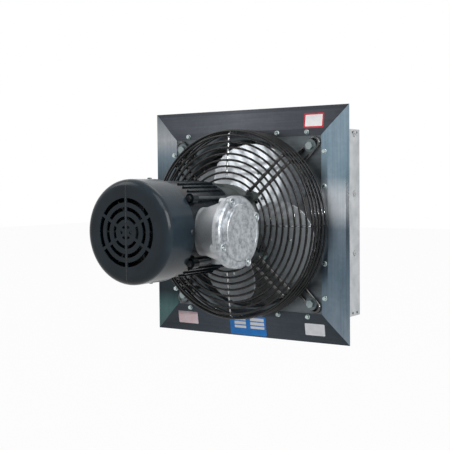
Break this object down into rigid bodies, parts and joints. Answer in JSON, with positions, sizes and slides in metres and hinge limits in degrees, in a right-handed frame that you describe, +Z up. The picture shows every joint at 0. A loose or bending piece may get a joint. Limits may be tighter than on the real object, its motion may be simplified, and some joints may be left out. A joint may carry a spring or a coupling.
{
  "type": "shutter exhaust fan",
  "caption": "Square wall exhaust fan with a wire guard, an enclosed motor with a conduit box on wire arms, a propeller and a gravity shutter.",
  "frame": {"origin": "centre of the wall opening, in the plane of the wall on which the flange rims rest", "axes": "+X to the right of someone facing the motor, +Y through the wall with the air stream, +Z up"},
  "size_m": [0.432, 0.4789, 0.432],
  "materials": {
    "galvanised": "satin galvanised sheet",
    "shutter_aluminium": "mill finish sheet",
    "white_nylon": "matte",
    "guard_black": "gloss coat",
    "zinc_plate": "bright zinc",
    "motor_paint": "satin paint",
    "bell_paint": "satin paint on casting",
    "core_steel": "laminated",
    "copper_wire": "enamelled",
    "bearing_steel": "ground",
    "cast_aluminium": "rough casting",
    "shaft_steel": "ground",
    "black_plastic": "matte",
    "blade_aluminium": "bright sheet",
    "hub_aluminium": "cast"
  },
  "bodies": {
    "housing": {"fan_housing": "galvanised", "flange_top": "galvanised", "flange_right": "galvanised", "flange_bottom": "galvanised", "flange_left": "galvanised", "shutter_frame": "shutter_aluminium", "pivot_bushes": "white_nylon", "guard_front_rings": "guard_black", "guard_middle_ring_1": "guard_black", "guard_middle_ring_2": "guard_black", "guard_side_rings": "guard_black", "guard_radials": "guard_black", "motor_arm_1": "guard_black", "motor_arm_2": "guard_black", "motor_arm_3": "guard_black", "motor_arm_4": "guard_black", "foot_bolts": "zinc_plate", "foot_nuts": "zinc_plate", "foot_washers": "zinc_plate", "motor_clamps": "zinc_plate", "motor_bolts": "zinc_plate", "through_bolts": "zinc_plate", "motor_frame": "motor_paint", "rear_end_bell": "motor_paint", "fan_cowl": "motor_paint", "front_end_bell": "bell_paint", "stator_core": "core_steel", "stator_windings": "copper_wire", "front_bearing_outer": "bearing_steel", "rear_bearing_outer": "bearing_steel", "conduit_box": "cast_aluminium", "conduit_cover": "cast_aluminium"},
    "rotor": {"motor_shaft": "shaft_steel", "rotor_core": "core_steel", "front_bearing_inner": "bearing_steel", "rear_bearing_inner": "bearing_steel", "cooling_fan": "black_plastic", "blade_1": "blade_aluminium", "blade_2": "blade_aluminium", "blade_3": "blade_aluminium", "blade_4": "blade_aluminium", "propeller_hub": "hub_aluminium"},
    "top_louver": {"louver_1": "shutter_aluminium", "hinge_rod_1": "shaft_steel", "crank_1": "zinc_plate"},
    "middle_louver": {"louver_2": "shutter_aluminium", "hinge_rod_2": "shaft_steel", "crank_2": "zinc_plate"},
    "bottom_louver": {"louver_3": "shutter_aluminium", "hinge_rod_3": "shaft_steel", "crank_3": "zinc_plate"},
    "shutter_link": {"tie_bar": "zinc_plate"}
  },
  "joints": [
    {"name": "rotor_spin", "type": "hinge", "parent": "housing", "child": "rotor", "pos_m": [0, 0, 0], "axis": [0, 1, 0], "continuous": true},
    {"name": "middle_louver_swing", "type": "hinge", "parent": "housing", "child": "middle_louver", "pos_m": [0, 0.1, 0.0555], "axis": [1, 0, 0], "range_deg": [0, 70]},
    {"name": "top_louver_swing", "type": "hinge", "parent": "housing", "child": "top_louver", "pos_m": [0, 0.1, 0.168], "axis": [1, 0, 0], "range_deg": [0, 70]},
    {"name": "bottom_louver_swing", "type": "hinge", "parent": "housing", "child": "bottom_louver", "pos_m": [0, 0.1, -0.057], "axis": [1, 0, 0], "range_deg": [0, 70]},
    {"name": "tie_bar_pivot", "type": "hinge", "parent": "middle_louver", "child": "shutter_link", "pos_m": [-0.0303, 0.068, 0.0555], "axis": [1, 0, 0], "range_deg": [-70, 0]}
  ],
  "couplings": [
    {"joint": "top_louver_swing", "follows": "middle_louver_swing", "ratio": 1},
    {"joint": "bottom_louver_swing", "follows": "middle_louver_swing", "ratio": 1},
    {"joint": "tie_bar_pivot", "follows": "middle_louver_swing", "ratio": -1}
  ]
}
